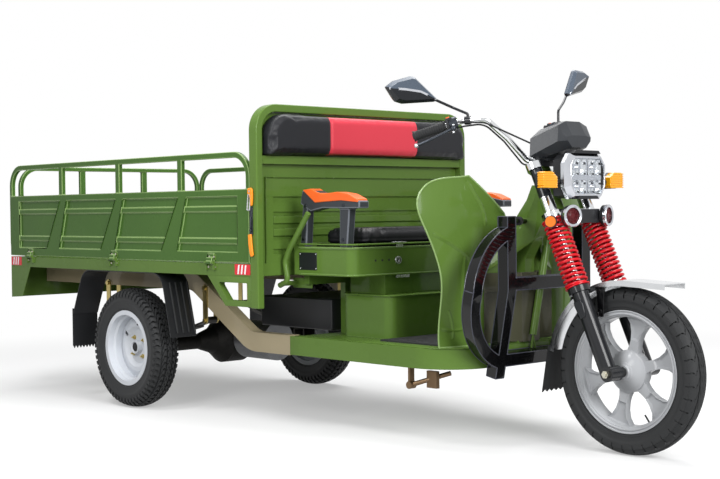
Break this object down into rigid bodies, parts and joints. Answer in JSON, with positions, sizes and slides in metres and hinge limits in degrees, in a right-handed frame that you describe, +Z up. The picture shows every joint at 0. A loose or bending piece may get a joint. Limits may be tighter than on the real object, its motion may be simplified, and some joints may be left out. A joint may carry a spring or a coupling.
{
  "type": "electric cargo tricycle",
  "caption": "Electric cargo tricycle with a drop-side bed, padded headboard, open cab with bench seat, and a sprung front fork.",
  "frame": {"origin": "on the ground under the middle of the vehicle", "axes": "+X towards the front wheel, +Y to the rider's left, +Z up"},
  "size_m": [3.629, 1.2286, 1.428],
  "materials": {
    "rail_paint": "gloss",
    "green_paint": "gloss",
    "black_paint": "satin",
    "zinc": "satin",
    "spring_steel": "satin",
    "cast_black": "matt",
    "motor_aluminium": "satin",
    "tyre": "matt",
    "wheel_silver": "satin",
    "alloy_silver": "satin",
    "pad_vinyl": "satin",
    "lamp_red": "gloss",
    "black_rubber": "matt",
    "mat_rubber": "matt",
    "black_plastic": "matt",
    "chrome": "polished",
    "slider_black": "satin",
    "spring_red": "gloss",
    "bright_steel": "polished",
    "lens_clear": "gloss",
    "lens_orange": "gloss",
    "latch_orange": "gloss",
    "arm_plastic": "satin",
    "mirror_shell": "gloss"
  },
  "bodies": {
    "chassis": {"main_frame": "rail_paint", "leaf_springs": "spring_steel", "spring_shackles": "zinc", "rear_axle": "cast_black", "drive_motor": "motor_aluminium", "bed_frame": "green_paint", "bed_floor": "green_paint", "headboard_frame": "green_paint", "headboard_panel": "green_paint", "headboard_pad": "pad_vinyl", "hinge_brackets": "green_paint", "rear_skirt": "green_paint", "tail_lights": "lamp_red", "rear_mudguards": "black_plastic", "cab_frame": "green_paint", "floor_mat": "mat_rubber", "leg_shields": "green_paint", "steering_neck": "green_paint", "bumper_guard": "black_paint", "seat_box": "green_paint", "battery_box": "green_paint", "battery_case": "black_plastic", "armrests": "arm_plastic", "parking_lever": "green_paint", "board_latches": "latch_orange", "brake_pedal": "zinc", "cable_sleeve": "green_paint"},
    "rear_wheel_right": {"rear_tyre_right": "tyre", "rear_rim_right": "wheel_silver"},
    "rear_wheel_left": {"rear_tyre_left": "tyre", "rear_rim_left": "wheel_silver"},
    "side_board_left": {"side_board_left": "green_paint"},
    "side_board_right": {"side_board_right": "green_paint"},
    "tailgate": {"tailgate": "green_paint"},
    "seat": {"seat_cushion": "pad_vinyl", "seat_pan": "black_paint"},
    "steering": {"fork_crowns": "chrome", "fork_tubes": "chrome", "fork_sliders": "slider_black", "fork_springs": "spring_red", "front_axle": "zinc", "front_mudguard": "bright_steel", "handlebar": "chrome", "grips": "black_rubber", "instrument_pod": "black_plastic", "headlight_housing": "black_plastic", "headlight_lens": "lens_clear", "lamp_brackets": "black_paint", "indicators": "lens_orange", "horns": "chrome", "mirrors": "mirror_shell", "brake_levers": "zinc", "front_flap": "black_rubber", "brake_cable_left": "black_rubber", "brake_cable_right": "black_rubber", "switch_cable_right": "black_rubber"},
    "front_wheel": {"front_tyre": "tyre", "front_rim": "alloy_silver"}
  },
  "joints": [
    {"name": "steering", "type": "hinge", "parent": "chassis", "child": "steering", "pos_m": [1.17814, 0, 0.90926], "axis": [-0.4067, 0, 0.9135], "range_deg": [-40, 40]},
    {"name": "front_wheel_spin", "type": "hinge", "parent": "steering", "child": "front_wheel", "pos_m": [1.5195, 0, 0.295], "axis": [0, 1, 0], "continuous": true},
    {"name": "rear_wheel_right_spin", "type": "hinge", "parent": "chassis", "child": "rear_wheel_right", "pos_m": [-0.7905, -0.53, 0.267], "axis": [0, 1, 0], "continuous": true},
    {"name": "rear_wheel_left_spin", "type": "hinge", "parent": "chassis", "child": "rear_wheel_left", "pos_m": [-0.7905, 0.53, 0.267], "axis": [0, 1, 0], "continuous": true},
    {"name": "side_board_left_drop", "type": "hinge", "parent": "chassis", "child": "side_board_left", "pos_m": [-0.835, 0.607, 0.663], "axis": [-1, 0, 0], "range_deg": [0, 180]},
    {"name": "side_board_right_drop", "type": "hinge", "parent": "chassis", "child": "side_board_right", "pos_m": [-0.835, -0.607, 0.663], "axis": [1, 0, 0], "range_deg": [0, 180]},
    {"name": "tailgate_drop", "type": "hinge", "parent": "chassis", "child": "tailgate", "pos_m": [-1.8075, 0, 0.663], "axis": [0, -1, 0], "range_deg": [0, 180]},
    {"name": "seat_lift", "type": "hinge", "parent": "chassis", "child": "seat", "pos_m": [0.2635, 0, 0.736], "axis": [0, -1, 0], "range_deg": [0, 65]}
  ]
}
